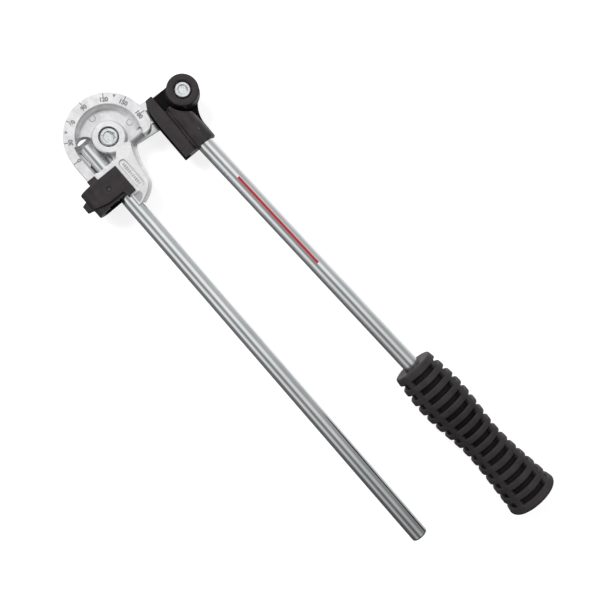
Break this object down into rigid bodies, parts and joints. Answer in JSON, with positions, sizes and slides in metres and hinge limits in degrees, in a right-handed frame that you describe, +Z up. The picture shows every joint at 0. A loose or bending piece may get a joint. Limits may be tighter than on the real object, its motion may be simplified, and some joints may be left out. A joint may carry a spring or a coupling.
{
  "type": "manual tube bender",
  "caption": "Hand lever tube bender: grooved former with a degree scale on a fixed bar, linked slide shoe on a lever with a ribbed grip, and a tube hook.",
  "frame": {"origin": "middle of the tool's bounding box, on the plane that it lies on", "axes": "+X along the fixed bar towards its free end, +Y from the former towards the lever, +Z up out of the scale face"},
  "size_m": [0.4792, 0.1466, 0.0454],
  "materials": {
    "cast_aluminium": "fine die-cast skin, tumbled, matt",
    "zinc_steel": "bright drawn steel with clear zinc plating",
    "pin_steel": "turned and polished pin",
    "spring_steel": "oiled dark spring steel",
    "bronze": "sintered bearing bronze, oily",
    "black_casting": "black coated die casting, satin",
    "grip_rubber": "moulded black elastomer, satin"
  },
  "bodies": {
    "former": {"former": "cast_aluminium", "main_pin_bush": "bronze", "main_pin": "pin_steel", "main_pin_washer": "zinc_steel", "main_pin_circlip": "spring_steel", "link_washer": "zinc_steel", "fixed_bar": "zinc_steel", "fixed_bar_roll_pin": "spring_steel", "hook_pin": "spring_steel"},
    "link": {"link_plate": "zinc_steel", "lever_pin": "pin_steel", "lever_pin_washer": "zinc_steel", "lever_pin_circlip": "spring_steel", "shoe_washer": "zinc_steel"},
    "lever": {"slide_shoe": "black_casting", "lever_pin_bush": "bronze", "lever_bar": "zinc_steel", "lever_roll_pin": "spring_steel", "grip": "grip_rubber"},
    "hook": {"hook": "black_casting"}
  },
  "joints": [
    {"name": "link_swing", "type": "hinge", "parent": "former", "child": "link", "pos_m": [-0.20466, -0.02249, 0.02269], "axis": [0, 0, 1], "range_deg": [0, 180]},
    {"name": "lever_swing", "type": "hinge", "parent": "link", "child": "lever", "pos_m": [-0.19615, 0.04531, 0.02269], "axis": [0, 0, 1], "range_deg": [0, 110]},
    {"name": "hook_swing", "type": "hinge", "parent": "former", "child": "hook", "pos_m": [-0.17266, -0.04909, 0.02269], "axis": [0, 0, 1], "range_deg": [0, 30]}
  ]
}
